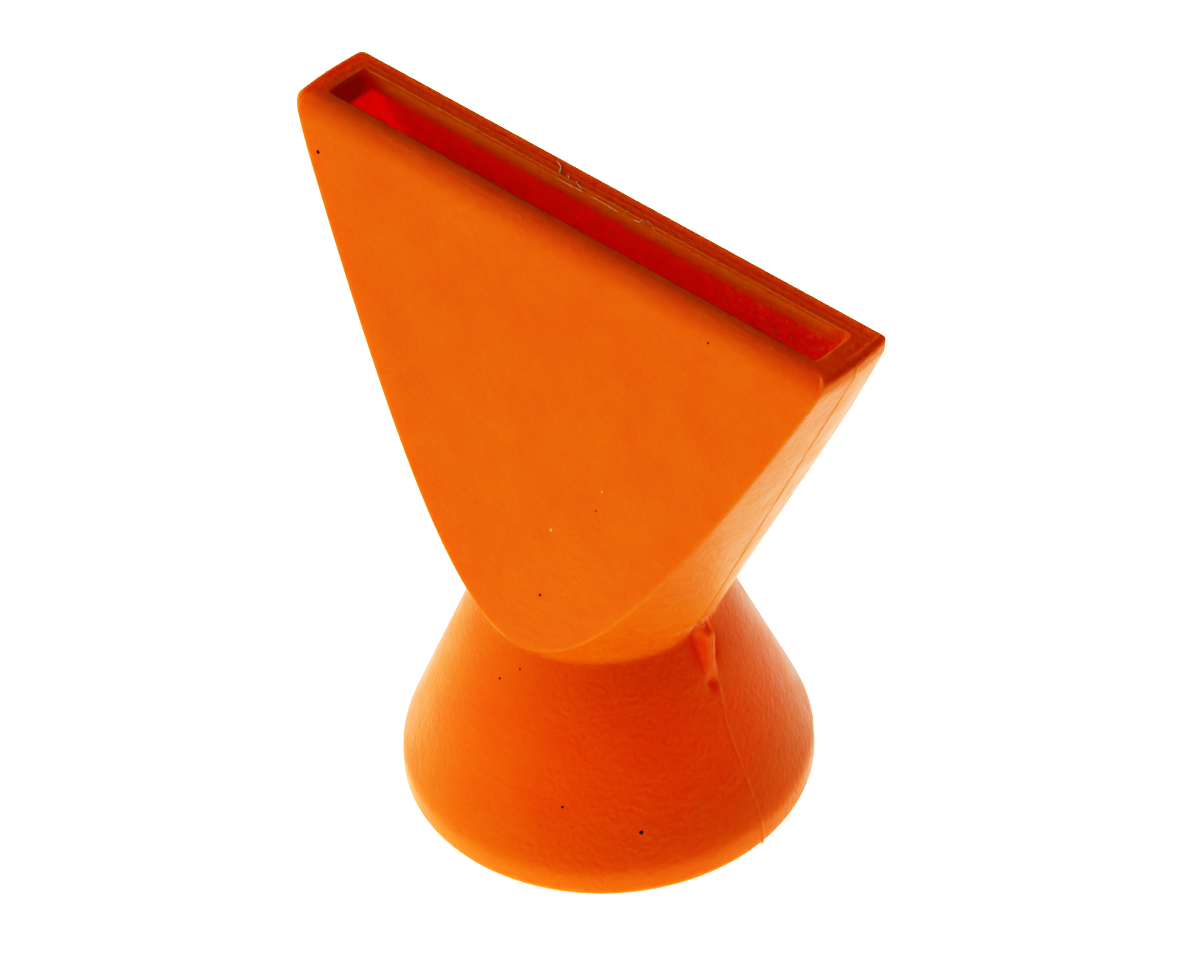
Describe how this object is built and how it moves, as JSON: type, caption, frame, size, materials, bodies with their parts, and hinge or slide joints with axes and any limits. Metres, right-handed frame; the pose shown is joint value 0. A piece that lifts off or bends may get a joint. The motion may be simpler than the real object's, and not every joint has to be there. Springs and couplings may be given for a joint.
{
  "type": "flat slot nozzle",
  "caption": "Flat fan nozzle for ball-and-socket modular hose: a round push-fit socket skirt that opens into a wide, thin outlet slot.",
  "frame": {"origin": "centre of the socket skirt's rim face, on the flow axis", "axes": "+Z along the flow axis, from the socket to the outlet slot; +X along the slot, on the side with the gate tab; +Y across the slot, normal to the mould's parting plane"},
  "size_m": [0.0278, 0.017, 0.0286],
  "materials": {
    "orange_plastic": "fine spark-eroded texture, slightly translucent"
  },
  "bodies": {
    "root": {"nozzle_body": "orange_plastic"}
  },
  "joints": []
}
